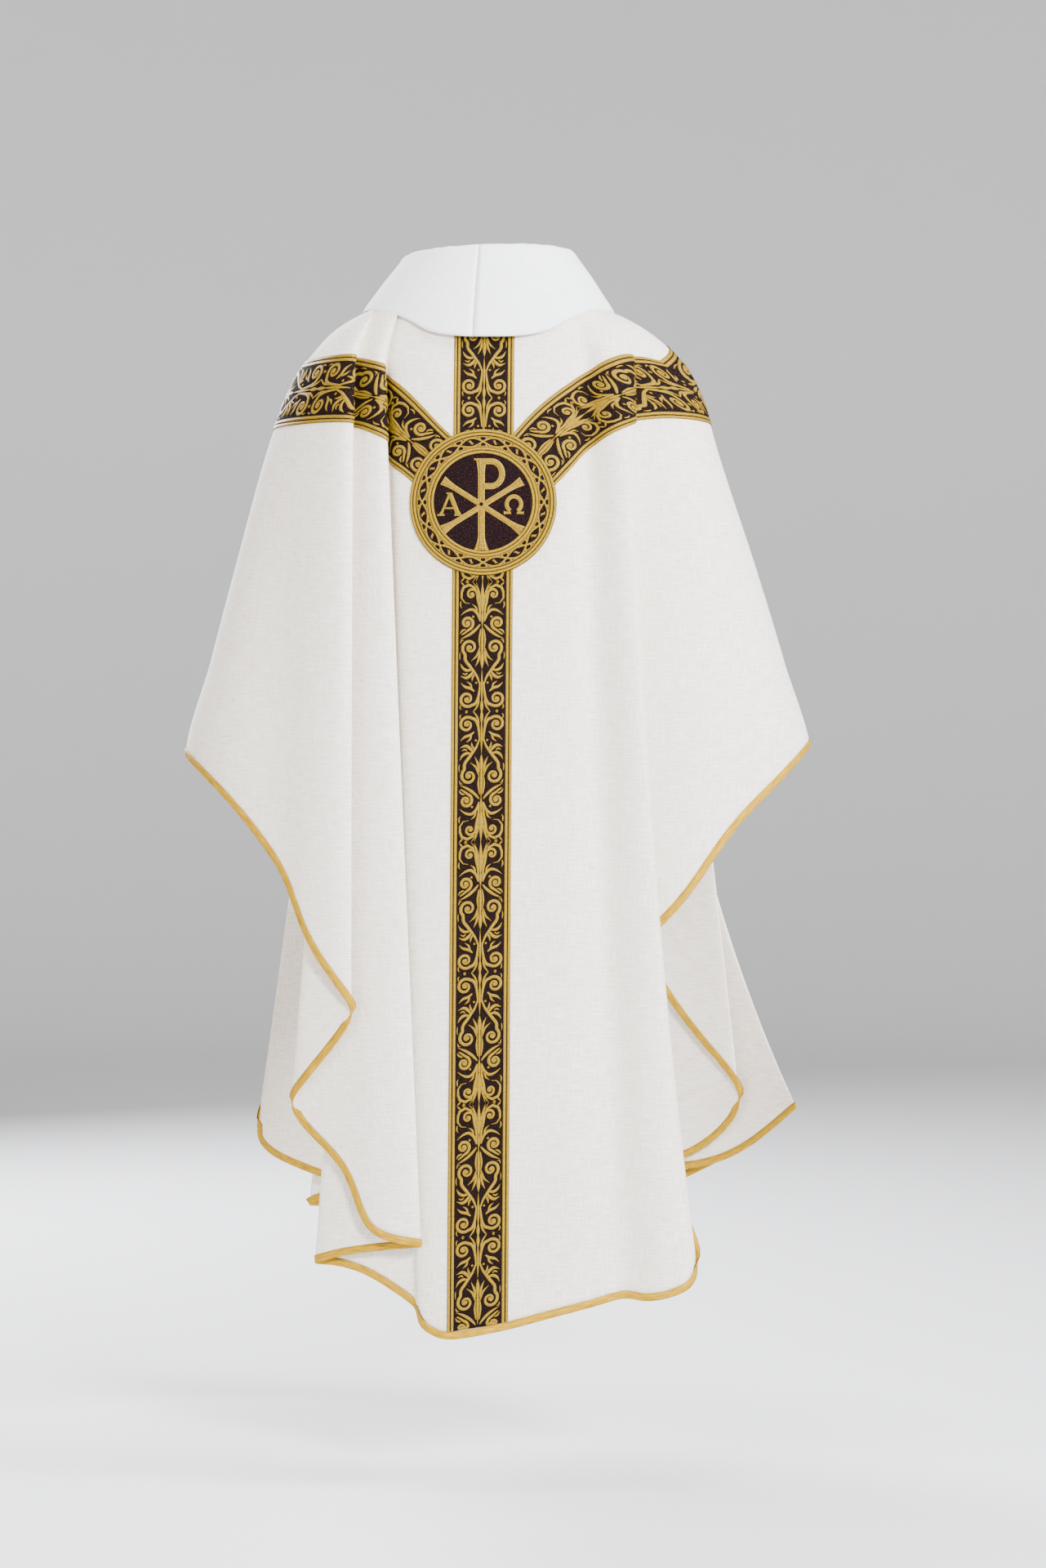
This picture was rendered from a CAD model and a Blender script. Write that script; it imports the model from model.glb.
"""The chasuble as it hangs on a wearer. Metres, in the CAD frame: the wearer faces -Y, the camera
stands behind them at +Y, and +X is the wearer's left."""

from math import cos, pi, radians, sin

import bpy
import numpy as np
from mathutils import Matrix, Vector


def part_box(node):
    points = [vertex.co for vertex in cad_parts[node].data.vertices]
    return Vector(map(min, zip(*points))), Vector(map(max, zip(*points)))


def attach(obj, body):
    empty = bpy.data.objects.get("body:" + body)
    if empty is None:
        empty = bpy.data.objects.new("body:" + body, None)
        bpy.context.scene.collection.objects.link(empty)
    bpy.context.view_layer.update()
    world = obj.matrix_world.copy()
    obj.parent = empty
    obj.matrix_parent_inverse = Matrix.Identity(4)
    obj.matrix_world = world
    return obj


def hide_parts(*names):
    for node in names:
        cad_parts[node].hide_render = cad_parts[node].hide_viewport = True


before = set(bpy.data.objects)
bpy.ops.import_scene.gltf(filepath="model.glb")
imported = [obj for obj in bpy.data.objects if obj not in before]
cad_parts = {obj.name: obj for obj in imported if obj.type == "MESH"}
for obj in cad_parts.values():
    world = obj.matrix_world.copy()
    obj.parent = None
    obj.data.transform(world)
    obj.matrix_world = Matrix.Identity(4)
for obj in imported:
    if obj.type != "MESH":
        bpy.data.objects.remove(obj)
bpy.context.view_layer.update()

# ========== camera ==========
BACK_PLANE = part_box("medallion_ground")[1][1]
CAMERA_DISTANCE = 4.2
CAMERA_X, CAMERA_Z = -0.046, -0.593
VIEW_HEIGHT = 2.016  # what the frame takes in at the back plane
SENSOR = 36
camera_data = bpy.data.cameras.new("camera")
camera_data.sensor_fit = "VERTICAL"
camera_data.sensor_height = SENSOR
camera_data.lens = SENSOR * CAMERA_DISTANCE / VIEW_HEIGHT
camera = bpy.data.objects.new("camera", camera_data)
camera.location = (CAMERA_X, BACK_PLANE + CAMERA_DISTANCE, CAMERA_Z)
camera.rotation_euler = (radians(90), 0, radians(180))
bpy.context.collection.objects.link(camera)
bpy.context.scene.camera = camera


# ========== shape helpers ==========
def smooth_table(at, values, where):
    """Monotone cubic through a table, so a shape read from it has no creases."""
    at, values = np.asarray(at, float), np.asarray(values, float)
    if at[0] > at[-1]:
        at, values = at[::-1], values[::-1]
    step = np.diff(at)
    slope = np.diff(values) / step
    inner = np.where(slope[1:] * slope[:-1] > 0,
                     2 * slope[1:] * slope[:-1] / (slope[1:] + slope[:-1] + 1e-12), 0)
    tangent = np.concatenate([[slope[0]], inner, [slope[-1]]])
    where = np.clip(where, at[0], at[-1])
    i = np.clip(np.searchsorted(at, where, side="right") - 1, 0, len(step) - 1)
    t = (where - at[i]) / step[i]
    h = step[i]
    return ((1 + 2 * t) * (1 - t) ** 2 * values[i] + t * (1 - t) ** 2 * h * tangent[i]
            + t * t * (3 - 2 * t) * values[i + 1] + t * t * (t - 1) * h * tangent[i + 1])


def spline_weights(count, places):
    """Weights of a clamped cubic B-spline: one row for each place, counted in spans, and one column for
    each control."""
    padded = np.concatenate([[0, 0], np.arange(count), [count - 1, count - 1]])
    span = np.minimum(places.astype(int), count)
    t = places - span
    weights = np.zeros((len(places), count))
    shares = ((1 - t) ** 3, 3 * t**3 - 6 * t**2 + 4, -3 * t**3 + 3 * t**2 + 3 * t + 1, t**3)
    for k, share in enumerate(shares):
        np.add.at(weights, (np.arange(len(places)), padded[span + k]), share / 6)
    return weights


# ========== the bell ==========
# The plain shape under the folds. Each ring in millimetres: height, then reach to the wearer's left,
# right, back and front.
RINGS = np.array([
    (62, 106, 106, 90, 96), (46, 136, 138, 101, 105), (28, 178, 184, 112, 115), (5, 212, 222, 123, 126),
    (-22, 236, 252, 133, 134), (-52, 257, 274, 141, 143), (-90, 275, 290, 149, 154),
    (-150, 296, 307, 158, 172), (-300, 337, 356, 170, 225), (-425, 370, 394, 178, 280),
    (-570, 406, 433, 186, 318), (-770, 380, 436, 196, 320), (-1030, 346, 448, 208, 314),
    (-1310, 324, 440, 222, 306),
]) / 1000
SQUARENESS = 0.86  # 1 is an ellipse, and less is squarer
NECK_Z = RINGS[0, 0]


def reach(z, column):
    """The bell's reach at a height: column 1 is to the left, 2 right, 3 back and 4 front."""
    return smooth_table(RINGS[:, 0], RINGS[:, column], z)


def rows_at(table, places):
    """Rows of a table at places between them."""
    before = np.minimum(places.astype(int), len(table) - 2)
    share = (places - before)[:, None]
    return (1 - share) * table[before] + share * table[before + 1]


def unit_circle(angles):
    return np.stack([np.cos(angles), np.sin(angles)], axis=-1)


def eased(share):
    """0 to 1 with a level start and end."""
    return share * share * (3 - 2 * share)


def bell_depth(x, z, side):
    """Distance of the bell's surface in front of or behind the shoulder line."""
    across = np.where(x > 0, reach(z, 1), reach(z, 2))
    out = reach(z, 3 if side > 0 else 4)
    return out * np.maximum(0, 1 - np.abs(x / across) ** (2 / SQUARENESS)) ** (SQUARENESS / 2)


# ========== folds ==========
FOLD_TOP, FOLD_LOW = -0.05, -1.20  # heights where the tables' first and second distances hold
FOLD_START, FOLD_GROWTH = 0.070, 0.155  # height where the folds begin, and the fall over which they grow
SEAM_FADE = 0.045  # the folds fade out over this much of the bell's depth before the shoulder seams
NECK_GATHER = 0.22  # how far the folds draw in from the shoulders to the neck
# Each fold line of a panel in millimetres, from the middle outwards: distance from the middle at the
# shoulder and near the hem, distance out from the bell, the hem's height, and where it isn't 1 the power
# that the first distance grows into the second by.
BACK_LEFT = [
    (30, 30, 0, -1298), (60, 56, 0, -1300), (97, 74, -3, -1294), (124, 90, -8, -1284),
    (129, 92, -16, -1266), (132, 96, -22, -1260), (133, 120, -22, -1243), (134, 155, -21, -1221),
    (135, 190, -20, -1212), (136, 215, -18, -1212), (136, 224, -13, -1211), (136, 214, -8, -1207),
    (136, 180, -6, -1195), (136, 130, -5, -1188), (135, 94, -3, -1184), (132, 78, 4, -1182),
    (137, 92, 12, -1180), (143, 120, 15, -1176), (151, 150, 13, -1166), (157, 166, 10, -1138),
    (162, 178, 7, -1100), (167, 200, 4, -1072), (171, 232, 2, -1048), (173, 258, 3, -1026),
    (174, 272, 9, -1005), (174, 258, 15, -985), (174, 225, 17, -950), (174, 190, 18, -916),
    (172, 166, 24, -886), (178, 184, 32, -864), (189, 208, 34, -838), (208, 240, 30, -800),
    (232, 256, 22, -758), (256, 264, 14, -716), (284, 284, 8, -680), (324, 324, 10, -630),
    (362, 362, 8, -591), (402, 402, 0, -553.5),
]
BACK_RIGHT = [
    (30, 30, 0, -1286), (70, 70, 0, -1275), (105, 110, 0, -1265), (113, 138, -7, -1259),
    (124, 164, -15, -1252), (132, 180, -14, -1250), (142, 194, -4, -1254), (156, 216, 8, -1252),
    (172, 242, 13, -1245), (184, 260, 10, -1236, 1.6), (193, 270, -1, -1216, 2), (192, 266, -9, -1180, 2),
    (190, 225, -13, -1060, 2), (187, 186, -16, -900), (184, 168, -21, -850), (188, 180, -27, -822),
    (200, 200, -26, -800), (222, 222, -20, -779), (248, 248, -12, -753), (275, 270, -6, -722),
    (300, 298, -4, -681), (330, 330, -2, -640), (368, 368, 0, -604), (402, 402, 0, -570),
    (428, 428, 0, -541),
]
FRONT_LEFT = [
    (40, 40, 0, -1232), (80, 80, 0, -1228), (120, 130, 0, -1214), (150, 190, 4, -1198),
    (165, 240, 6, -1188), (168, 262, 1, -1186), (168, 245, -6, -1180), (166, 215, -9, -1172),
    (166, 190, -12, -1165), (168, 200, -20, -1158), (176, 235, -22, -1148), (186, 270, -18, -1132),
    (194, 306, -20, -1112), (200, 331, -16, -1088), (200, 339, -8, -1060), (200, 328, -1, -1025),
    (202, 300, 2, -970), (204, 275, 5, -910), (208, 268, 12, -860), (218, 274, 18, -805),
    (236, 284, 18, -745), (262, 296, 12, -690), (302, 312, 6, -640), (352, 352, 2, -592),
    (402, 402, 0, -553.5),
]
FRONT_RIGHT = [
    (40, 40, 0, -1232), (90, 90, 0, -1222), (140, 160, 4, -1200), (180, 260, 10, -1165, 1.5),
    (204, 375, 14, -1110, 2), (223, 463, 12, -1060, 2.2), (231, 509, 4, -1035, 2.2),
    (230, 487, -2, -1045, 2.2), (223, 419, -4, -1085, 2), (218, 344, -5, -1125, 1.5),
    (212, 272, -7, -1142), (211, 237, -12, -1132), (212, 268, -17, -1128), (219, 313, -18, -1104, 0.9),
    (226, 349, -18, -1072, 0.85), (230, 372, -22, -1036, 0.85), (228, 357, -28, -1002, 0.85),
    (223, 319, -30, -962, 0.9), (218, 282, -30, -918), (212, 240, -30, -868), (211, 223, -34, -828),
    (218, 242, -38, -780), (248, 277, -36, -735), (286, 310, -24, -680), (334, 344, -10, -628),
    (386, 384, -4, -580), (428, 428, 0, -541),
]
BACK_MIDDLE, FRONT_MIDDLE = (0, 0, 0, -1292), (0, 0, 0, -1234)
TIP_GAP = 0.0005  # length of a panel's last, shortest column of cloth
TIP_PAST = 0.0002  # how far a tip lies beyond the bell, so that it is sure to close
SPAN_STEPS, TIP_STEPS, TIP_SPANS = 5, 15, 4  # columns in a span, in one next to a tip, and how many of those
NEAR = 3  # spans on each side of a panel's middle in which the cloth has no folds
LOWEST_TIP = -0.62  # no shoulder seam comes down to this height
TOP_ROUNDS = 30  # rounds of the search for a panel's top edge
TABLE_REACH, TABLE_COLUMNS = 0.95, 1601  # the table of the unfolded cloth, to each side of the middle
TABLE_FOOT, TABLE_ROWS = -1.33, 456
WORKED_OUT, BETWEEN = 10, 6  # columns of the unfolding worked out in each span, and steps between those
ROWS, ROW_CROWDING = 120, 1.7  # rows of cloth from top to hem, closer together at the top
LEFT, RIGHT = 0, -1  # the tips of a panel, as places in its columns


def fold_line(top, low, out, hem, power=1):
    """A row of a fold table in metres."""
    return np.array((top / 1000, low / 1000, out / 1000, hem / 1000, power))


class Panel:
    """One panel as a surface: u runs across it from left tip to right tip, v down from its top edge."""

    def __init__(self, side, middle, left, right):
        self.side = side
        self.controls = np.array([fold_line(*row) for row in (*reversed(left), middle)]
                                 + [fold_line(*row) * (-1, -1, 1, 1, 1) for row in right])
        for tip, column, sign in ((LEFT, 1, 1), (RIGHT, 2, -1)):  # the tips lie on the shoulder seams
            self.controls[tip, :2] = sign * (reach(self.controls[tip, 3], column) + TIP_PAST)
        spans = len(self.controls) + 1
        steps = [TIP_STEPS if min(i, spans - 1 - i) < TIP_SPANS else SPAN_STEPS for i in range(spans)]
        self.places = np.concatenate([i + np.arange(n) / n for i, n in enumerate(steps)] + [[spans]])
        self.middle = len(left) + 1  # the place of the middle control
        self.near = np.abs(self.places - self.middle) < NEAR
        self.weights = spline_weights(len(self.controls), self.places)
        self.columns = len(self.weights)
        self.hem = self.weights @ self.controls[:, 3]
        self.top = self.top_edge()
        self.across = np.linspace(-TABLE_REACH, TABLE_REACH, TABLE_COLUMNS)
        self.heights = np.linspace(NECK_Z, TABLE_FOOT, TABLE_ROWS)
        self.unfold(np.linspace(0, spans, WORKED_OUT * spans + 1))

    def flat_place(self, column_weights, z):
        """x and distance from the bell, for rows of control weights and heights z."""
        fall = np.maximum((FOLD_TOP - z) / (FOLD_TOP - FOLD_LOW), 0)
        growth = eased(np.clip((FOLD_START - z) / FOLD_GROWTH, 0, 1))
        x, out = np.zeros_like(z), np.zeros_like(z)
        for k, (top, low, depth, _, power) in enumerate(self.controls):
            w = column_weights[:, k].reshape(-1, *([1] * (z.ndim - 1)))
            x = x + w * (top + (low - top) * fall**power)
            out = out + w * depth
        gather = np.clip((z - FOLD_TOP) / (NECK_Z - FOLD_TOP), 0, 1)
        return x * (1 - NECK_GATHER * gather**1.5), out * growth

    def top_edge(self):
        """Height where each column leaves the neck or the shoulder line."""
        heights = np.linspace(NECK_Z, LOWEST_TIP, 1400)
        z = np.full(self.columns, NECK_Z)
        for _ in range(TOP_ROUNDS):
            x, _ = self.flat_place(self.weights, z)
            left = np.interp(np.abs(x), reach(heights, 1), heights)
            right = np.interp(np.abs(x), reach(heights, 2), heights)
            z = 0.5 * z + 0.5 * np.where(np.abs(x) < RINGS[0, 1], NECK_Z, np.where(x > 0, left, right))
        return np.maximum(z, self.hem + TIP_GAP)

    def place(self, weights, z):
        """Points of the cloth, for rows of control weights and heights z."""
        x, out = self.flat_place(weights, z)
        return np.stack([x, self.depth(bell_depth(x, z, self.side), out), z], axis=-1)

    def depth(self, bell, out):
        """y of cloth that hangs a distance out from the bell; the folds end at the shoulder seams."""
        return self.side * np.maximum(bell + out * eased(np.clip(bell / SEAM_FADE, 0, 1)), 0)

    def grid(self):
        """Points of the whole panel and their places in the flat cloth."""
        v = np.linspace(0, 1, ROWS) ** ROW_CROWDING
        z = self.top[:, None] + (self.hem - self.top)[:, None] * v[None, :]
        run = rows_at(self.run, self.places * (len(self.run) - 1) / self.places[-1])
        across = np.stack([np.interp(-z[k], -self.heights, run[k]) for k in range(self.columns)])
        spread = np.diff((reach(self.heights, 1) + reach(self.heights, 2)) / 2)
        length = np.concatenate([[0], np.cumsum(np.hypot(np.diff(self.heights), spread))])
        down = np.interp(-z, -self.heights, length)
        return self.place(self.weights, z), np.stack([across, down], axis=-1)

    def unfold(self, places):
        """Makes a regular table of surface points over distance across the unfolded cloth and height, and
        each column's distance across, as x alone adds it up (plain) and over the folds (run)."""
        weights = spline_weights(len(self.controls), places)
        heights = np.broadcast_to(self.heights, (len(weights), len(self.heights)))
        x, out = self.flat_place(weights, heights)
        plain = np.zeros(x.shape)
        plain[1:] = np.cumsum(np.abs(np.diff(x, axis=0)), axis=0)
        share = np.clip(np.abs(x / np.where(x > 0, reach(heights, 1), reach(heights, 2))), 0, 1)
        turn = np.sign(x) * np.arcsin(share ** (1 / SQUARENESS))
        steps = np.linspace(0, len(weights) - 1, BETWEEN * (len(weights) - 1) + 1)
        turn, out, plain, x = (rows_at(part, steps) for part in (turn, out, plain, x))
        z = np.broadcast_to(self.heights, turn.shape)
        wide = np.where(turn > 0, reach(z, 1), reach(z, 2))
        bell = reach(z, 3 if self.side > 0 else 4) * np.maximum(np.cos(turn), 0) ** SQUARENESS
        x_on = np.sign(turn) * np.abs(np.sin(turn)) ** SQUARENESS * wide
        y_on = self.depth(bell, out)
        run = np.zeros(x.shape)
        run[1:] = np.cumsum(np.hypot(np.diff(x_on, axis=0), np.diff(y_on, axis=0)), axis=0)
        near = np.abs(np.linspace(0, places[-1], len(x)) - self.middle) < NEAR
        self.table = np.zeros((len(self.across), len(self.heights), 3))
        for j, height in enumerate(self.heights):
            for part in (plain, run):
                part[:, j] = np.interp(0, -x[near, j], part[near, j]) - part[:, j]
            self.table[:, j, 0] = np.interp(self.across, run[::-1, j], x_on[::-1, j])
            self.table[:, j, 1] = np.interp(self.across, run[::-1, j], y_on[::-1, j])
            self.table[:, j, 2] = height
        self.plain, self.run = plain, run

    def on_cloth(self, points):
        """Places in millimetres, with distance across that leaves out the folds' depth, as places over the
        unfolded cloth."""
        placed = []
        for across, z in np.array(points) / 1000:
            j = int(np.argmin(np.abs(self.heights - z)))
            placed.append((float(np.interp(across, self.plain[::-1, j], self.run[::-1, j])), z))
        return placed

    def seam(self, z, end):
        """How far across the unfolded cloth the LEFT or RIGHT shoulder seam lies at a height."""
        return np.interp(-np.asarray(z, float), -self.heights, self.run[end])

    def at(self, across, z, lift=0.0):
        """Surface points over unfolded places, lifted off the outer face."""
        i, j = (np.clip((value - marks[0]) / (marks[1] - marks[0]), 0.5, len(marks) - 2.5)
                for value, marks in ((across, self.across), (z, self.heights)))

        def look(i, j):
            a, b = np.floor(i).astype(int), np.floor(j).astype(int)
            s, t = (i - a)[..., None], (j - b)[..., None]
            table = self.table
            return ((1 - s) * (1 - t) * table[a, b] + s * (1 - t) * table[a + 1, b]
                    + (1 - s) * t * table[a, b + 1] + s * t * table[a + 1, b + 1])

        along_x = look(i + 0.5, j) - look(i - 0.5, j)
        along_z = look(i, j + 0.5) - look(i, j - 0.5)
        normal = self.side * np.cross(along_x, along_z)
        normal /= np.linalg.norm(normal, axis=-1, keepdims=True) + 1e-12
        return look(i, j) + normal * np.asarray(lift)[..., None]


back = Panel(1, BACK_MIDDLE, BACK_LEFT, BACK_RIGHT)
front = Panel(-1, FRONT_MIDDLE, FRONT_LEFT, FRONT_RIGHT)


# ========== materials ==========
class Nodes:
    """A material's node tree, with short calls for the nodes that the cloths share."""

    def __init__(self, name):
        self.material = bpy.data.materials.new(name)
        self.material.use_nodes = True
        self.tree = self.material.node_tree
        self.shader = self.tree.nodes["Principled BSDF"]
        self.uv = self.new("ShaderNodeUVMap", uv_map="cloth").outputs[0]

    def new(self, kind, inputs=(), **settings):
        node = self.tree.nodes.new(kind)
        for key, value in settings.items():
            setattr(node, key, value)
        for key, value in dict(inputs).items():
            if isinstance(value, bpy.types.NodeSocket):
                self.tree.links.new(value, node.inputs[key])
            else:
                node.inputs[key].default_value = value
        return node

    def math(self, operation, a, b=0.0, c=0.0):
        return self.new("ShaderNodeMath", {0: a, 1: b, 2: c}, operation=operation).outputs[0]

    def noise(self, stretch, detail=2.0, roughness=0.5, offset=0.0):
        """Noise over the cloth's own directions, stretch in features per metre along and across."""
        place = self.new("ShaderNodeMapping", {"Vector": self.uv, "Location": (offset, offset, 0),
                                               "Scale": (*stretch, 1)}).outputs[0]
        return self.new("ShaderNodeTexNoise", {"Vector": place, "Scale": 1.0, "Detail": detail,
                                               "Roughness": roughness}).outputs["Fac"]

    def ramp(self, fac, *stops):
        node = self.new("ShaderNodeValToRGB", {"Fac": fac})
        points = node.color_ramp.elements
        points[0].position, points[0].color = stops[0][0], (*stops[0][1], 1)
        points[1].position, points[1].color = stops[-1][0], (*stops[-1][1], 1)
        for position, colour in stops[1:-1]:
            points.new(position).color = (*colour, 1)
        return node.outputs["Color"]

    def mix(self, fac, a, b):
        node = self.new("ShaderNodeMix", data_type="RGBA")
        for socket, value in ((node.inputs[0], fac), (node.inputs[6], a), (node.inputs[7], b)):
            if isinstance(value, bpy.types.NodeSocket):
                self.tree.links.new(value, socket)
            else:
                socket.default_value = value if isinstance(value, float) else (*value, 1)
        return node.outputs[2]

    def finish(self, colour, height=None, strength=0.3, distance=0.0005, **values):
        if isinstance(colour, bpy.types.NodeSocket):
            self.tree.links.new(colour, self.shader.inputs["Base Color"])
        else:
            self.shader.inputs["Base Color"].default_value = (*colour, 1)
        if height is not None:
            bump = self.new("ShaderNodeBump", {"Height": height, "Strength": strength, "Distance": distance})
            self.tree.links.new(bump.outputs[0], self.shader.inputs["Normal"])
        for key, value in values.items():
            socket = self.shader.inputs[key.replace("_", " ")]
            if isinstance(value, bpy.types.NodeSocket):
                self.tree.links.new(value, socket)
            else:
                socket.default_value = value
        return self.material


def linen(name, light, shade, slub, strength):
    """A plain weave with uneven threads both ways, soft tone changes and a faint sheen."""
    n = Nodes(name)
    warp = n.noise((560, 42), 3)
    weft = n.noise((42, 560), 3, offset=7.3)
    fine = n.noise((1500, 1500), 1, offset=2.1)
    thread = n.math("MAXIMUM", n.math("SUBTRACT", warp, 0.02), weft)
    broad = n.noise((7, 5), 2, offset=4.4)
    colour = n.ramp(thread, (0.42, shade), (0.62, light))
    colour = n.mix(n.math("MULTIPLY", broad, slub), colour, shade)
    height = n.math("ADD", n.math("MULTIPLY", thread, 0.8), n.math("MULTIPLY", fine, 0.3))
    return n.finish(colour, height, strength, 0.0006, Roughness=0.88, Sheen_Weight=0.25,
                    Sheen_Roughness=0.5, Specular_IOR_Level=0.25)


def metal_thread(name, tones, edge, twist, groove, centre=None):
    """Laid gold thread: uv x runs along a stroke in metres, uv y across it from -1 to 1."""
    n = Nodes(name)
    split = n.new("ShaderNodeSeparateXYZ", {0: n.uv})
    along, across = split.outputs[0], n.math("ABSOLUTE", split.outputs[1])
    slant = n.math("ADD", n.math("MULTIPLY", along, twist), n.math("MULTIPLY", split.outputs[1], 1.4))
    thread = n.math("ABSOLUTE", n.math("SINE", slant))
    grain = n.noise((420, 2.5), 3, 0.65)
    tone = n.math("ADD", n.math("MULTIPLY", thread, 0.30), n.math("MULTIPLY", grain, 0.75))
    colour = n.ramp(tone, (0.25, tones[0]), (0.5, tones[1]), (0.8, tones[2]))
    rim = n.ramp(across, (0.72, (0, 0, 0)), (0.98, (1, 1, 1)))
    colour = n.mix(rim, colour, edge)
    valley = n.ramp(across, (groove - 0.18, (0, 0, 0)), (groove, (0.85, 0.85, 0.85)),
                    (groove + 0.18, (0, 0, 0)))
    colour = n.mix(valley, colour, tones[0])
    if centre:
        line = n.math("LESS_THAN", across, 0.10)
        dash = n.math("GREATER_THAN", n.math("SINE", n.math("MULTIPLY", along, 2600)), -0.6)
        colour = n.mix(n.math("MULTIPLY", line, n.math("MULTIPLY", dash, 0.75)), colour, centre)
    height = n.math("ADD", thread, n.math("MULTIPLY", grain, 0.5))
    return n.finish(colour, height, 0.55, 0.0004, Metallic=0.22, Roughness=0.50, Specular_IOR_Level=0.15)


def dark_brocade(name, ground, fleck, flecks):
    """A near-black stitched ground with small reddish flecks."""
    n = Nodes(name)
    rows = n.noise((1400, 420), 2)
    speck = n.noise((flecks, flecks), 2, 0.6, 3.7)
    colour = n.mix(n.ramp(speck, (0.52, (0, 0, 0)), (0.70, (1, 1, 1))), ground, fleck)
    return n.finish(colour, n.math("ADD", rows, n.math("MULTIPLY", speck, 0.6)), 0.6, 0.0005,
                    Roughness=0.9, Specular_IOR_Level=0.06)


def satin(name):
    """Bias tape: fine diagonal satin weave, darker and stitched along its free edge."""
    n = Nodes(name)
    split = n.new("ShaderNodeSeparateXYZ", {0: n.uv})
    along, across = split.outputs[0], split.outputs[1]
    rib = n.math("SINE", n.math("MULTIPLY", n.math("ADD", along, across), 4200))
    streak = n.noise((60, 900), 3)
    tone = n.math("ADD", n.math("MULTIPLY", streak, 0.75), n.math("MULTIPLY", rib, 0.06))
    colour = n.ramp(tone, (0.25, (0.27, 0.130, 0.001)), (0.5, (0.58, 0.340, 0.003)),
                    (0.75, (0.84, 0.560, 0.010)))
    near_stitch = n.math("LESS_THAN", n.math("ABSOLUTE", n.math("SUBTRACT", across, 0.0082)), 0.0004)
    stitch = n.math("GREATER_THAN", n.math("SINE", n.math("MULTIPLY", along, 2100)), -0.3)
    colour = n.mix(n.math("MULTIPLY", near_stitch, stitch), colour, (0.30, 0.17, 0.03))
    return n.finish(colour, n.math("ADD", rib, streak), 0.35, 0.0003, Metallic=0.10, Roughness=0.5,
                    Specular_IOR_Level=0.15)


GOLDS = ((0.026, 0.010, 0.001), (0.205, 0.108, 0.004), (0.66, 0.435, 0.026))
ivory = linen("ivory_cloth", (0.93, 0.875, 0.79), (0.72, 0.63, 0.525), 0.26, 0.55)
white = linen("collar_cloth", (0.955, 0.96, 0.965), (0.86, 0.865, 0.87), 0.12, 0.20)
tape_cloth = linen("seam_tape", (0.80, 0.74, 0.66), (0.66, 0.59, 0.50), 0.3, 0.3)
scroll_gold = metal_thread("scroll_gold", GOLDS, (0.030, 0.013, 0.002), 3200, 0.42)
braid_gold = metal_thread("braid_gold", GOLDS, (0.040, 0.019, 0.002), 2600, 0.5)
motif_gold = metal_thread("motif_gold", GOLDS, (0.070, 0.038, 0.004), 3400, 0.40, centre=(0.05, 0.018, 0.003))
band_ground = dark_brocade("band_ground", (0.0045, 0.003, 0.0028), (0.040, 0.013, 0.009), 620)
medallion_dark = dark_brocade("medallion_ground", (0.0040, 0.0020, 0.0026), (0.042, 0.012, 0.010), 520)
gold_satin = satin("gold_satin")


# ========== mesh helpers ==========
class Builder:
    """Gathers grids of points with their places in the cloth, and makes one mesh of them."""

    def __init__(self):
        self.points, self.uvs, self.faces, self.count = [], [], [], 0

    def grid(self, points, uv, closed=False):
        """Adds a grid; a closed one joins its last row of points to its first."""
        index = np.arange(points.shape[0] * points.shape[1]).reshape(points.shape[:2]) + self.count
        if closed:
            index = np.vstack([index, index[:1]])
        quads = np.stack([index[:-1, :-1], index[:-1, 1:], index[1:, 1:], index[1:, :-1]], axis=-1)
        self.points.append(points.reshape(-1, 3))
        self.uvs.append(uv.reshape(-1, 2))
        self.faces.append(quads.reshape(-1, 4))
        self.count += points.shape[0] * points.shape[1]

    def make(self, name, material, outward=None):
        """The object, with its faces turned so that most of them look outward."""
        points, uv, faces = map(np.concatenate, (self.points, self.uvs, self.faces))
        mesh = bpy.data.meshes.new(name)
        if outward is not None:
            corners = points[faces]
            normal = np.cross(corners[:, 2] - corners[:, 0], corners[:, 3] - corners[:, 1])
            if (normal * outward).sum() < 0:
                faces = faces[:, ::-1]
        mesh.from_pydata(points.tolist(), [], faces.tolist())
        layer = mesh.uv_layers.new(name="cloth")
        loops = np.zeros(len(mesh.loops), np.int32)
        mesh.loops.foreach_get("vertex_index", loops)
        layer.data.foreach_set("uv", uv[loops].astype(np.float32).ravel())
        mesh.polygons.foreach_set("use_smooth", np.ones(len(mesh.polygons), bool))
        mesh.materials.append(material)
        made = bpy.data.objects.new(name, mesh)
        bpy.context.collection.objects.link(made)
        return made

    def piece(self, name, material, slot, replaces=(), outward=None):
        """The object as a piece of the model that stands for the CAD nodes it replaces."""
        made = self.make(name, material, outward)
        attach(made, "root")
        if replaces:
            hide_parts(*replaces)
        return made


def thicken(piece, thickness, offset=-1):
    solid = piece.modifiers.new("thickness", "SOLIDIFY")
    solid.thickness = thickness
    solid.offset = offset


def run_along(line, axis=0):
    """Distance along lines of points from their first."""
    steps = np.linalg.norm(np.diff(line, axis=axis), axis=-1)
    return np.concatenate([np.zeros_like(steps.take([0], axis)), np.cumsum(steps, axis=axis)], axis=axis)


# ========== panels ==========
CLOTH = 0.0008
BINDING, BINDING_HALF = 0.0095, 0.0010  # the tape's width on each face, and half its thickness at the hem
BELOW_HEM = 0.004  # the step down that gives the direction of the cloth at the hem
# The tape's cross-section: how far up the cloth, and how far out of it.
TAPE_FACE = [(BINDING, 0.7), (BINDING * 0.97, 1.25), (BINDING * 0.5, 1.4), (0.001, 1.2), (-0.0006, 0.6)]
TAPE = np.array([*TAPE_FACE, (-0.0008, 0), *((up, -out) for up, out in reversed(TAPE_FACE))])
TAPE *= (1, BINDING_HALF)
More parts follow.
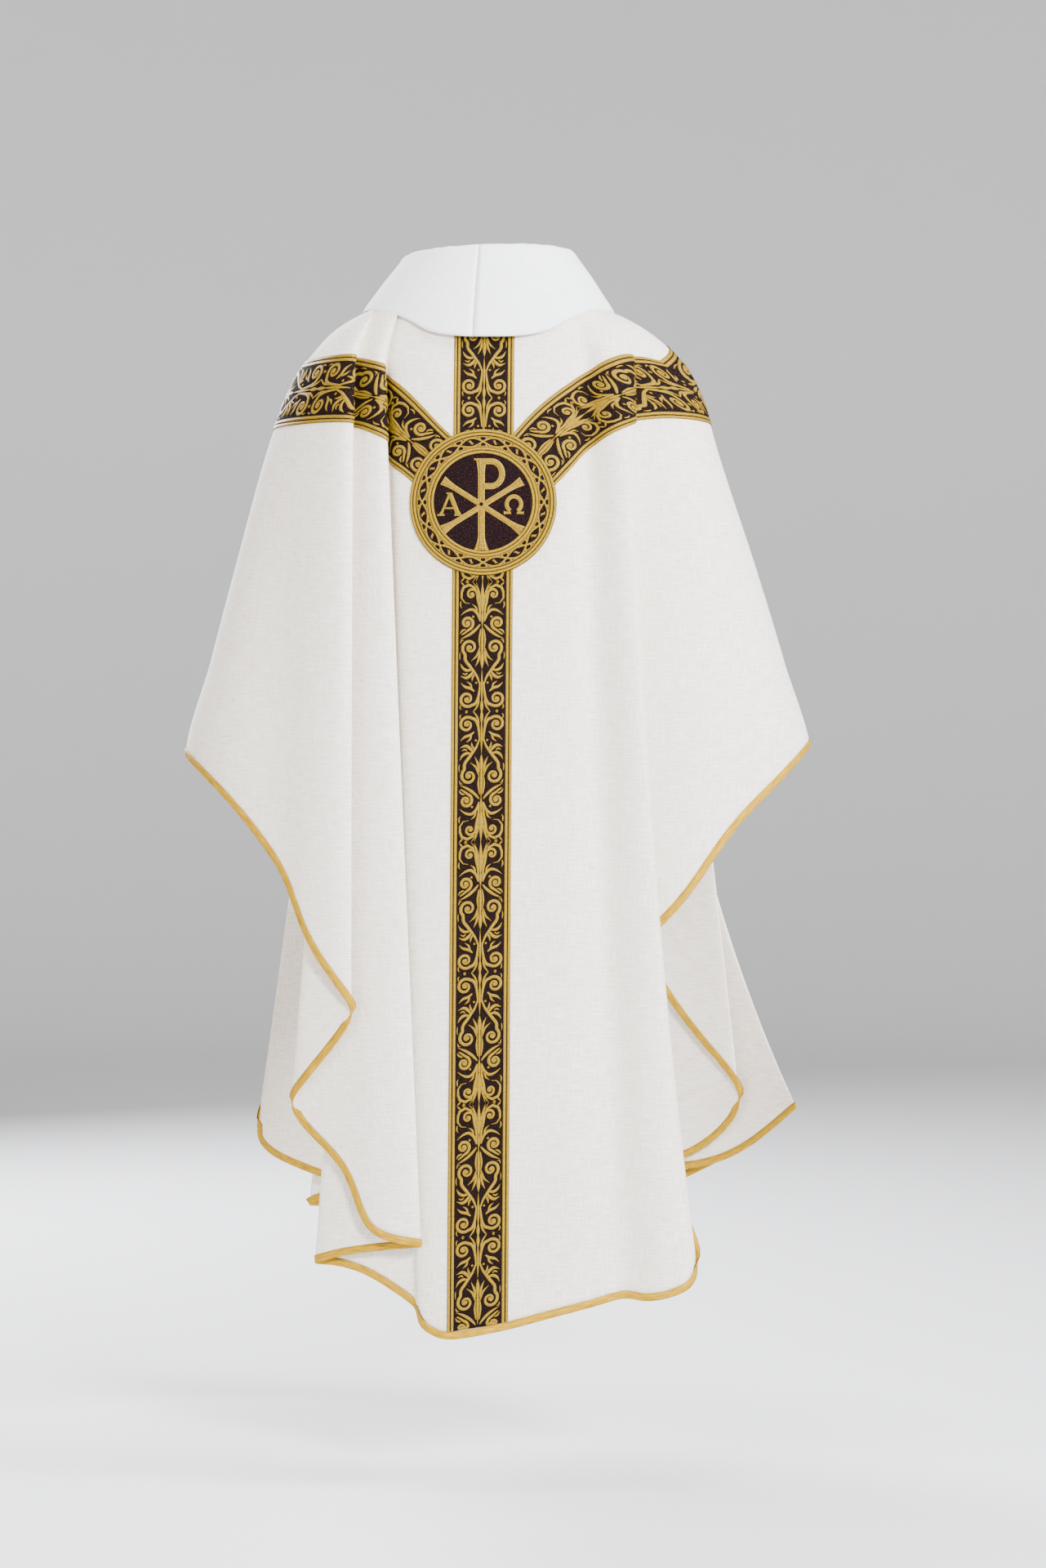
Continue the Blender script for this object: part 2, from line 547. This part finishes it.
# Each panel as it was cut, taken from the drape: its hem's run across, its longest run down, its area.
for name, panel in (("back", back), ("front", front)):
    build = Builder()
    build.grid(*panel.grid())
    cloth = build.piece(f"{name}_panel_cloth", ivory, "ivory_cloth", [f"{name}_panel"],
                        outward=(0, panel.side, 0))
    thicken(cloth, CLOTH)

    # the gold binding, folded round the hem
    hem = panel.place(panel.weights, panel.hem[:, None])[:, 0]
    below = panel.place(panel.weights, panel.hem[:, None] - BELOW_HEM)[:, 0]
    tangent = np.gradient(hem, axis=0)
    tangent /= np.linalg.norm(tangent, axis=1, keepdims=True)
    inward = hem - below
    inward -= (inward * tangent).sum(1, keepdims=True) * tangent
    inward /= np.linalg.norm(inward, axis=1, keepdims=True)
    normal = np.cross(tangent, inward)
    build = Builder()
    build.grid(np.stack([hem + inward * up + normal * out for up, out in TAPE], axis=1),
               np.stack(np.broadcast_arrays(run_along(hem)[:, None], TAPE[:, 0]), axis=-1))
    build.piece(f"{name}_hem_tape", gold_satin, "gold_satin", [f"{name}_hem_binding"])


# ========== orphreys ==========
BAND_WIDTH = 0.078
HALF = BAND_WIDTH / 2
BRAID_WIDTH = 0.0088
FIELD = HALF - BRAID_WIDTH  # half width of the field between the braids
MIDDLE_X = 0.0055  # the medallion's centre in the unfolded cloth
MIDDLE_Z = 0.5 * (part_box("medallion_ground")[0][2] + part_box("medallion_ground")[1][2])
COLUMN_TOP = 0.026


def curve_through(points, t):
    """A smooth line through points, t from 0 to 1 by length."""
    points = np.asarray(points, float)
    chord = run_along(points)
    chord /= chord[-1]
    return np.stack([smooth_table(chord, points[:, k], t) for k in range(points.shape[1])], axis=-1)


class Band:
    """A band between two edges laid on a panel: s runs along it and w across it, in metres."""

    def __init__(self, panel, right_edge, left_edge, phase=0.02, shoulder=None):
        self.panel, self.edges = panel, (right_edge, left_edge)
        self.phase, self.shoulder = phase, shoulder
        self.length = sum(np.linalg.norm(np.diff(edge, axis=0), axis=1).sum() for edge in self.edges) / 2

    def at(self, s, w, lift):
        t = np.clip(np.asarray(s) / self.length, 0, 1)
        f = (np.asarray(w) / BAND_WIDTH + 0.5)[..., None]
        place = (1 - f) * curve_through(self.edges[0], t) + f * curve_through(self.edges[1], t)
        across, z = place[..., 0], place[..., 1]
        if self.shoulder is not None:  # the end follows the curve of the shoulder seam
            last = (1 - f) * np.array(self.edges[0][-1]) + f * np.array(self.edges[1][-1])
            across = across + (self.panel.seam(last[..., 1], self.shoulder) - last[..., 0]) * t**3
        return self.panel.at(across, z, lift)

    def on(self, spots, lift):
        return self.at(spots[..., 0], spots[..., 1], lift)

    def strip(self, build, w, lift, across, steps):
        """Adds a strip along the band, with a cross-section w and lift and a uv across it."""
        s, w = np.meshgrid(np.linspace(0, self.length, steps), w, indexing="ij")
        points = self.at(s, w, np.broadcast_to(lift, s.shape))
        build.grid(points, np.stack([s, np.broadcast_to(across, s.shape)], axis=-1))


LEAN = (0.004, 0.0062)  # the column's middle at the neck, and how far it drifts in each metre down
UNDER_TAPE = 0.001  # how far the columns reach under the hem's tape


def column_edges(top, bottom):
    """The edges of a stretch of the column, which hangs a little off the plumb line. Its top and bottom
    are heights, or give a height for a place across."""
    edges = []
    for side in (-1, 1):
        ends = []
        for z in (top, bottom):
            across = side * HALF + LEAN[0] - LEAN[1] * (z(0) if callable(z) else z)
            ends.append((across, z(across) if callable(z) else z))
        edges.append(ends)
    return edges


def hem_height(panel):
    """Height of the hem over an unfolded place near the middle."""
    x, _ = panel.flat_place(panel.weights, panel.hem)
    near = panel.near
    return lambda across: float(np.interp(-across, -x[near], panel.hem[near])) + BINDING - UNDER_TAPE


def to_seam(panel, end, points):
    """An arm's edge, finished on the shoulder seam at the height of its last point."""
    z = points[-1][1] / 1000
    return panel.on_cloth(points[:-1]) + [(float(panel.seam(z, end)), z)]


INSIDE = 0.080  # how far from its centre the bands end under the medallion
back_hem, front_hem = hem_height(back), hem_height(front)
bands = {
    "back_column_upper": Band(back, *column_edges(COLUMN_TOP, MIDDLE_Z + INSIDE), 0.120),
    "back_column_lower": Band(back, *column_edges(MIDDLE_Z - INSIDE, back_hem), 0.190),
    "front_column": Band(front, *column_edges(COLUMN_TOP, front_hem)),
    "back_arm_left": Band(
        back,
        to_seam(back, LEFT, [(70, -230), (112, -190), (154, -156), (200, -130), (250, -125), (300, -121.5)]),
        to_seam(back, LEFT, [(16, -174), (51, -139), (130, -60), (190, -34), (235, -34), (262, -29)]),
        0.300, LEFT),
    "back_arm_right": Band(
        back,
        back.on_cloth([(-8, -176), (-33, -141), (-74, -98), (-124, -59), (-184, -32), (-212, -31),
                       (-240, -35)]),
        to_seam(back, RIGHT, [(-66, -232), (-90, -205), (-140, -153), (-196, -121), (-262, -113),
                              (-300, -114)]), 0.300),
    "front_arm_left": Band(
        front,
        to_seam(front, LEFT, [(12, -345), (100, -245), (200, -145), (270, -121.5)]),
        to_seam(front, LEFT, [(40, -250), (100, -175), (185, -75), (240, -29)]),
        shoulder=LEFT),
    "front_arm_right": Band(
        front,
        to_seam(front, RIGHT, [(-40, -250), (-105, -175), (-175, -80), (-240, -4)]),
        to_seam(front, RIGHT, [(-12, -345), (-105, -245), (-190, -152), (-285, -114)]),
        shoulder=RIGHT),
}
# The end of the front's right arm, where it turns over the shoulder seam onto the back.
over_shoulder = Band(
    back,
    to_seam(back, RIGHT, [(-240, -35), (-240, -4)]),
    [(back.seam(-0.114, RIGHT) + 0.003, -0.1125), (back.seam(-0.114, RIGHT), -0.114)], 0.0,
    shoulder=RIGHT)

# ========== scrollwork ==========
REPEAT = 0.334  # each band's scrolls are half a repeat, mirrored both ways


def leaf(*points, widest, steps=9):
    """A stroke through its points that is widest near its middle."""
    line = curve_through(points, np.linspace(0, 1, steps))
    t = np.linspace(0, 1, steps)
    swell = 0.25 + 0.75 * np.sin(pi * np.clip(t * 0.92 + 0.05, 0, 1)) ** 0.8
    return line, widest * swell * (1 - 0.75 * t**4)


def spiral(lead, centre, radius, start, turns, widest, steps=34):
    """A stem that runs through its lead points, winds in round a centre, and swells and thins."""
    angles = radians(start) + np.linspace(0, 2 * pi * turns, steps)
    shrink = 1 - 0.80 * np.linspace(0, 1, steps) ** 0.85
    wind = np.array(centre) + radius * shrink[:, None] * unit_circle(angles)
    t = np.linspace(0, 1, steps + 8)
    swell = 0.4 + 0.6 * np.sin(np.clip(t / 0.35, 0, 1) * pi / 2)
    swell *= 0.55 + 0.45 * np.sin(np.clip((1 - t) / 0.5, 0, 1) * pi / 2)
    return curve_through(np.vstack([lead, wind]), t), widest * swell


def dot(x, y, radius):
    """A small ring whose stroke is wide enough to fill it."""
    return (x, y) + radius / 2 * unit_circle(np.linspace(0, 2 * pi, 9)), np.full(9, radius / 2)


def half_repeat():
    """Strokes of half a repeat, drawn in millimetres and given in metres, s from 0 to 167 and w from 0 to
    30 from the middle, and those that lie on the middle line itself."""
    sides = [
        leaf((0, 11), (5, 7), (12, 4.2), (24, 3.6), widest=1.5),
        spiral([(38, 2.4), (28, 3.2), (17, 5.0), (9.5, 9.5)], (16.5, 19.5), 10.6, 222, -1.5, 2.3),
        leaf((26, 10), (30, 15), (32, 22), (37, 27.5), widest=2.3),
        leaf((29, 13), (35, 15), (39, 20), widest=1.6),
        leaf((3, 27), (6, 28.6), (10, 28), widest=1.0),
        spiral([(34, 2.4), (44, 6), (57, 15), (69, 22.5)], (82.5, 16.2), 10.8, 146, -1.42, 2.4),
        leaf((52, 11.5), (47, 15), (43.5, 21), (46, 28), widest=2.6),
        leaf((54, 13), (53, 19), (56, 25), (62, 28.5), widest=2.3),
        leaf((49, 9.5), (43, 12.5), (39, 13), widest=1.6),
        leaf((50, 19), (48, 22), (50, 26), widest=1.3),
        leaf((78, 2.6), (67, 4.6), (58, 8.6), widest=2.0),
        leaf((82, 3.2), (72, 6.8), (65, 14.5), widest=1.7),
        leaf((106, 2.0), (92, 3.8), (79, 2.4), widest=1.6),
        leaf((112, 2.8), (106, 8), (99, 17), (93.5, 28), widest=2.3),
        spiral([(99, 27), (101, 23.5), (104.5, 19)], (114, 20), 9.0, -165, 1.5, 2.3),
        leaf((106, 22), (104, 26.5), (100, 29.2), widest=1.5),
        leaf((116, 2.8), (126, 6.5), (131.5, 14), (129, 22), (124, 28), widest=2.4),
        leaf((127, 6.5), (134, 8.5), (138, 13.5), widest=1.5),
        spiral([(118, 2.6), (132, 3.4), (142, 5.5)], (151, 14.3), 8.0, -105, 1.3, 2.1),
        leaf((146, 6.5), (158, 9.5), (163, 18), (158, 26.5), (148, 28), (140, 23), (139, 16), widest=2.3),
        leaf((142, 28.4), (137, 29), (133, 27), widest=1.2),
        leaf((134, 1.4), (150, 3.6), (166, 8.2), widest=1.5),
        leaf((146, 4.4), (157, 6.2), (167, 13), widest=1.2),
        leaf((162, 24), (165, 27), (167, 28.5), widest=1.3),
        leaf((67, 28.8), (72, 29.4), (77, 28.9), widest=0.9),
        leaf((88, 28.6), (92, 27), (92, 24), widest=1.1),
        dot(16.5, 19.3, 2.9), dot(82.3, 16, 2.9), dot(114, 20, 2.7), dot(151, 14.3, 2.6),
        dot(64, 21, 1.7), dot(37, 7.5, 1.6), dot(122, 12, 1.7), dot(0, 20, 2.2), dot(167, 20, 2.4),
    ]
    middle = [
        leaf((0, 0), (7, 0), (16, 0), widest=2.6), leaf((14, 0), (34, 0), (54, 0), widest=1.7),
        leaf((75, 0), (64, 0), (55, 0), widest=3.0), leaf((72, 0), (90, 0), (112, 0), widest=2.2),
        leaf((112, 0), (122, 0), (130, 0), widest=2.0), leaf((128, 0), (152, 0), (167, 0), widest=3.0),
    ]
    return [[(line * 0.001, width * 0.001) for line, width in strokes] for strokes in (sides, middle)]


CROWN = np.array([-1.0, -0.72, 0.0, 0.72, 1.0])
CROWN_LIFT = np.array([0.0, 0.72, 1.0, 0.72, 0.0])


def lay_stroke(build, place, line, width, low, height):
    """A raised stroke along a line: place(points, lift) puts it on the cloth."""
    tangent = np.gradient(line, axis=0)
    tangent /= np.linalg.norm(tangent, axis=1, keepdims=True) + 1e-12
    across = np.stack([-tangent[:, 1], tangent[:, 0]], axis=1)
    spots = line[:, None] + across[:, None] * (width[:, None] * CROWN)[..., None]
    lift = low + height * CROWN_LIFT[None] * np.clip(width / width.max(), 0.5, 1)[:, None]
    uv = np.stack(np.broadcast_arrays(run_along(line)[:, None], CROWN[None]), axis=-1)
    build.grid(place(spots, lift), uv)


SUNK = 0.0002  # how far cords and strokes sink into what lies under them
BAND_LIFT, BRAID_LIFT = 0.0010, 0.0019
BAND_W = np.concatenate([[-HALF] * 2, np.linspace(-HALF, HALF, 17), [HALF] * 2])
BAND_LIFTS = [SUNK, 0.0007, *[BAND_LIFT] * 17, 0.0007, SUNK]  # across the ground, its edges turned down
CORD_INSETS, CORD_HALF = (0.0019, 0.0066), 0.0019  # the braid's cords, from the band's edge
CORD_LIFTS = BAND_LIFT - SUNK + (BRAID_LIFT - BAND_LIFT) * CROWN_LIFT
STROKE = 0.88  # share of their drawn width that the scrolls are sewn at
SCROLL_HEIGHT = 0.0009
SCROLL_SPREAD = (FIELD - 0.0010) / 0.030
END_GAP = 0.002  # the scrolls stop this far from the ends of their band
COLUMN_STEP, ARM_STEP = 0.005, 0.0010  # lengths of cloth between crosswise rows
side_strokes, middle_strokes = half_repeat()
MIRRORED = [(s, w, side_strokes) for w in (1, -1) for s in (1, -1)]
MIRRORED += [(s, 1, middle_strokes) for s in (1, -1)]
for name, band in [*bands.items(), ("front_arm_right_turn", over_shoulder)]:
    steps = int(band.length / (COLUMN_STEP if "column" in name else ARM_STEP))
    ground, braid, scrolls = Builder(), Builder(), Builder()
    band.strip(ground, BAND_W, BAND_LIFTS, BAND_W, steps)
    for side in (-1, 1):
        for inset in CORD_INSETS:
            band.strip(braid, side * (HALF - inset) + CORD_HALF * CROWN, CORD_LIFTS, CROWN, steps)
    for k in range(-1, int(band.length / REPEAT) + 2):
        for mirror_s, mirror_w, strokes in MIRRORED:
            for line, width in strokes:
                placed = line * (mirror_s, mirror_w * SCROLL_SPREAD) + (k * REPEAT + band.phase, 0)
                inside = (placed[:, 0] > END_GAP) & (placed[:, 0] < band.length - END_GAP)
                if inside.sum() >= max(5, 0.3 * len(inside)):
                    lay_stroke(scrolls, band.on, placed[inside], STROKE * width[inside], BAND_LIFT,
                               SCROLL_HEIGHT)
    known = name in bands  # the turn is part of the front's right arm, which has replaced its node already
    ground.piece(f"{name}_cloth", band_ground, "orphrey_cloth", [name] if known else [])
    braid.piece(f"{name}_braid_cords", braid_gold, "gold_braid", [f"{name}_braid"] if known else [])
    scrolls.piece(f"{name}_scrolls", scroll_gold, "gold_embroidery")

# ========== medallion ==========
R = 0.095  # the medallion's radius in metres; its figures are drawn in radii
DISC_LIFT = 0.0034
MONOGRAM = (-0.022, -0.030)  # the monogram's middle in the medallion


def on_medallion(spots, lift):
    """Places given from the medallion's centre, as seen from behind."""
    return back.at(MIDDLE_X - spots[..., 0], MIDDLE_Z + spots[..., 1], lift)


def on_monogram(spots, lift):
    return on_medallion(spots + np.array(MONOGRAM) * R, lift)


def sew(build, place, line, width, height):
    """A raised stroke on the disc, drawn in radii."""
    lay_stroke(build, place, line * R, width * R, DISC_LIFT - SUNK, height)


def ring_stroke(build, radius, half_width, height, wave=0.0, waves=0, phase=0.0):
    """A ring round the centre, with as many waves in and out of its radius."""
    t = np.linspace(0, 2 * pi, 385)
    line = (radius + wave * np.sin(waves * t + phase))[:, None] * unit_circle(t)
    sew(build, on_medallion, line, np.full(len(t), half_width), height)


def flared(build, start, end, half_width, ends, steps=25):
    """A straight stroke of the monogram that flares at its ends."""
    t = np.linspace(0, 1, steps)
    line = np.array(start) * (1 - t)[:, None] + np.array(end) * t[:, None]
    flare = ends[0] * np.clip(1 - t / 0.16, 0, 1) ** 1.6 + ends[1] * np.clip(1 - (1 - t) / 0.16, 0, 1) ** 1.6
    sew(build, on_monogram, line, half_width + flare, 0.0014)


def arc(centre, radii, start, end, steps):
    return np.array(centre) + unit_circle(np.radians(np.linspace(start, end, steps))) * radii


ground = Builder()
radii = np.array([*np.linspace(0.001, 0.93, 22), 0.97, 1, 1]) * R
lifts = [*[DISC_LIFT] * 22, DISC_LIFT - 0.0002, DISC_LIFT - 0.0012, 0.0004]  # the rim turns down to the cloth
spots = unit_circle(np.linspace(0, 2 * pi, 145)[:-1])[:, None] * radii[:, None]
ground.grid(on_medallion(spots, np.broadcast_to(lifts, spots.shape[:2])), spots, closed=True)
ground.piece("medallion_disc", medallion_dark, "medallion_velvet", ["medallion_ground"])

for name, radii in (("outer", (0.975, 0.930)), ("inner", (0.730, 0.685))):
    rim = Builder()
    for radius in radii:
        ring_stroke(rim, radius, 0.0200, 0.0013)
    rim.piece(f"medallion_{name}_rim_cords", braid_gold, "gold_embroidery", [f"medallion_{name}_rim"])

CROSSINGS = 16
INTERLACE, WAVE = 0.826, 0.060  # the interlace's middle radius, and how far its two cords wave from it
LACE_HEIGHT = 0.0006
lattice = Builder()
for phase in (0, pi):
    ring_stroke(lattice, INTERLACE, 0.0125, 0.0009, WAVE, CROSSINGS / 2, phase)
for radius in (0.893, 0.760):
    ring_stroke(lattice, radius, 0.0080, LACE_HEIGHT)
t = np.linspace(0, 1, 12)
for k in range(CROSSINGS):
    angle = 2 * pi * (k + 0.5) / CROSSINGS
    out, along = np.array((cos(angle), sin(angle))), np.array((-sin(angle), cos(angle)))
    for turn in (-1, 1):  # a pair of curls
        curl = INTERLACE + turn * (0.030 * np.sin(t * pi * 1.3))
        line = curl[:, None] * out + (turn * (0.045 * t * np.cos(t * 2.4)))[:, None] * along
        sew(lattice, on_medallion, line, 0.0075 * (1.1 - t * 0.5), LACE_HEIGHT)
    for radius in (0.872, 0.782):  # two pairs of dots
        for tilt in (-1, 1):
            a = 2 * pi * (k + 1) / CROSSINGS + tilt * 0.055
            sew(lattice, on_medallion, *dot(radius * cos(a), radius * sin(a), 0.017), LACE_HEIGHT)
lattice.piece("medallion_interlace_cords", scroll_gold, "gold_embroidery", ["medallion_interlace"])

monogram = Builder()
flared(monogram, (0.0, 0.60), (0.0, -0.63), 0.052, (0.026, 0.058))
flared(monogram, (-0.100, 0.612), (0.030, 0.612), 0.016, (0.0, 0.0))
flared(monogram, (-0.52, 0.325), (0.55, -0.365), 0.041, (0.030, 0.036))
flared(monogram, (-0.52, -0.350), (0.55, 0.315), 0.041, (0.034, 0.030))
bowl = np.vstack([[(0.030, 0.585), (0.075, 0.585)], arc((0.130, 0.415), (0.150, 0.170), 90, -90, 26),
                  [(0.075, 0.245), (0.030, 0.245)]])
sew(monogram, on_monogram, bowl, np.full(len(bowl), 0.045), 0.0013)
monogram.piece("chi_rho_stitching", motif_gold, "gold_embroidery", ["chi_rho"])

boss = Builder()
line, width = dot(0, 0, 0.026 * R)
lay_stroke(boss, on_monogram, line, width, DISC_LIFT + 0.0010, 0.0004)
boss.piece("chi_rho_boss", medallion_dark, "medallion_velvet")

letter = Builder()
flared(letter, (-0.430, 0.140), (-0.545, -0.140), 0.017, (0.004, 0.014))
flared(letter, (-0.425, 0.145), (-0.315, -0.140), 0.033, (0.0, 0.010))
flared(letter, (-0.505, -0.055), (-0.370, -0.055), 0.013, (0.0, 0.0))
flared(letter, (-0.470, 0.148), (-0.410, 0.148), 0.012, (0.0, 0.0))
for foot in (-0.545, -0.315):
    flared(letter, (foot - 0.050, -0.148), (foot + 0.050, -0.148), 0.013, (0.0, 0.0))
letter.piece("alpha_stitching", motif_gold, "gold_embroidery", ["alpha"])

letter = Builder()
sew(letter, on_monogram, arc((0.440, 0.0), (0.098, 0.105), -60, 240, 28), np.full(28, 0.030), 0.0013)
for foot in (-1, 1):
    flared(letter, (0.440 + foot * 0.040, -0.118), (0.440 + foot * 0.135, -0.118), 0.018, (0.0, 0.016))
letter.piece("omega_stitching", motif_gold, "gold_embroidery", ["omega"])

# ========== collar ==========
# The roll of the collar in millimetres, from the neck seam up, over the fold and down: height, half
# width, reach back and reach forward.
ROLL = np.array([
    (56, 104.5, 88.5, 94.5), (70, 104.8, 89, 95), (88, 105.5, 90.2, 96), (100, 106.6, 92, 97.6),
    (108, 108, 93.8, 99.3), (112.5, 109.8, 95.8, 101.2), (113.8, 112, 98, 103.4),
    (111.8, 114.8, 100.6, 106), (105, 119.5, 104, 109.2), (80, 138.5, 112, 118), (62, 151, 117.8, 123.8),
    (44, 163.5, 123.5, 129.5), (25, 175, 130, 136), (5, 186, 136.8, 142.8), (-20, 197, 143.5, 149),
    (-50, 209, 151, 156),
]) / 1000
FOLD_ROW = 6  # the row of ROLL where the collar turns down
# The fall's edge in millimetres, from the front round to the back: distance behind the shoulders, height.
FALL_EDGE = np.array([(-178, -36), (-136, -6), (-90, 25), (0, 38), (86, 26), (112, 11.5), (130, -6),
                      (142, -13.5)]) / 1000
COLLAR_CLOTH = 0.0019
COLLAR_TURN = 0.10  # radians that the collar sits turned by, which puts its seam left of the middle
COLLAR_TILT = 0.035  # how far the fold falls for each metre to the left
TILT_FROM, TILT_OVER = 0.05, 0.06  # the height where the tilt begins, and that over which it sets in
SEAM_GAP = 0.0015  # radians from each half to the seams
for name, side in (("left", 1), ("right", -1)):
    rows = []
    for angle in np.linspace(COLLAR_TURN * side + SEAM_GAP, pi - SEAM_GAP, 72):  # from back to front
        depth = ROLL[:, 2 if cos(angle) > 0 else 3]
        path = np.stack([ROLL[:, 1] * side * sin(angle), depth * cos(angle), ROLL[:, 0]], axis=1)
        over = path[:, 2] - smooth_table(FALL_EDGE[:, 0], FALL_EDGE[:, 1], path[:, 1])
        last = FOLD_ROW + 1 + np.argmax(over[FOLD_ROW + 1:] < 0)
        share = over[last - 1] / (over[last - 1] - over[last])
        path = np.vstack([path[:last], path[last - 1] + share * (path[last] - path[last - 1])])
        path[:, 2] -= COLLAR_TILT * path[:, 0] * np.clip((path[:, 2] - TILT_FROM) / TILT_OVER, 0, 1)
        rows.append(curve_through(path, np.linspace(0, 1, 44)))
    points = np.array(rows)
    build = Builder()
    build.grid(points, np.stack([run_along(points), run_along(points, axis=1)], axis=-1))
    collar = build.piece(f"collar_{name}", white, "collar_cloth",
                         [f"collar_fall_{name}", f"collar_stand_{name}"])
    thicken(collar, COLLAR_CLOTH, offset=0)

# ========== tapes inside ==========
for node in ("neck_tape", "shoulder_seam_tape_left", "shoulder_seam_tape_right"):
    bpy.data.objects[node].data.materials.clear()
    bpy.data.objects[node].data.materials.append(tape_cloth)

# ========== studio ==========
FLOOR_Z = -1.50
FLAT, CURVE, WALL_TOP = 6.5, 2.5, 4.5  # the floor's flat radius, the sweep up to the wall, the wall's top
sweep = np.linspace(0, pi / 2, 14)
distance = np.array([*np.linspace(0.0001, FLAT, 14)[:-1], *(FLAT + CURVE * np.sin(sweep)),
                     *[FLAT + CURVE] * 2])
rise = np.array([*np.zeros(13), *(CURVE * (1 - np.cos(sweep))), 4.0, WALL_TOP - FLOOR_Z]) + FLOOR_Z
spots = unit_circle(np.linspace(0, 2 * pi, 97)[:-1])[:, None] * distance[:, None]
bowl = Builder()
bowl.grid(np.dstack([spots, np.broadcast_to(rise, spots.shape[:2])]), spots, closed=True)
floor = bowl.make("floor", Nodes("paper").finish((0.78, 0.78, 0.79), Roughness=0.9))

world = bpy.data.worlds.new("studio")
bpy.context.scene.world = world
world.use_nodes = True
sky = world.node_tree.nodes["Background"].inputs
sky["Color"].default_value = (1.0, 0.93, 0.86, 1)
sky["Strength"].default_value = 0.33
COOL, WARM = (0.93, 0.96, 1.0), (1.0, 0.88, 0.78)
AIM = Vector((0, 0, -0.6))  # what every lamp points at
# name, place, size, power and colour
LAMPS = (("key", (-1.7, 4.0, 1.1), 0.9, 470, COOL), ("right", (-3.2, 1.2, 1.4), 0.8, 230, COOL),
         ("left", (3.0, 2.4, 0.1), 1.6, 60, WARM), ("top", (0.0, 0.7, 2.8), 1.2, 110, COOL),
         ("front", (1.8, -3.0, 1.0), 1.6, 420, COOL))
for name, place, size, power, colour in LAMPS:
    lamp_data = bpy.data.lights.new(name, "AREA")
    lamp_data.size = size
    lamp_data.energy = power
    lamp_data.color = colour
    lamp = bpy.data.objects.new(name, lamp_data)
    lamp.location = place
    lamp.rotation_euler = (Vector(place) - AIM).to_track_quat("Z", "Y").to_euler()
    bpy.context.collection.objects.link(lamp)
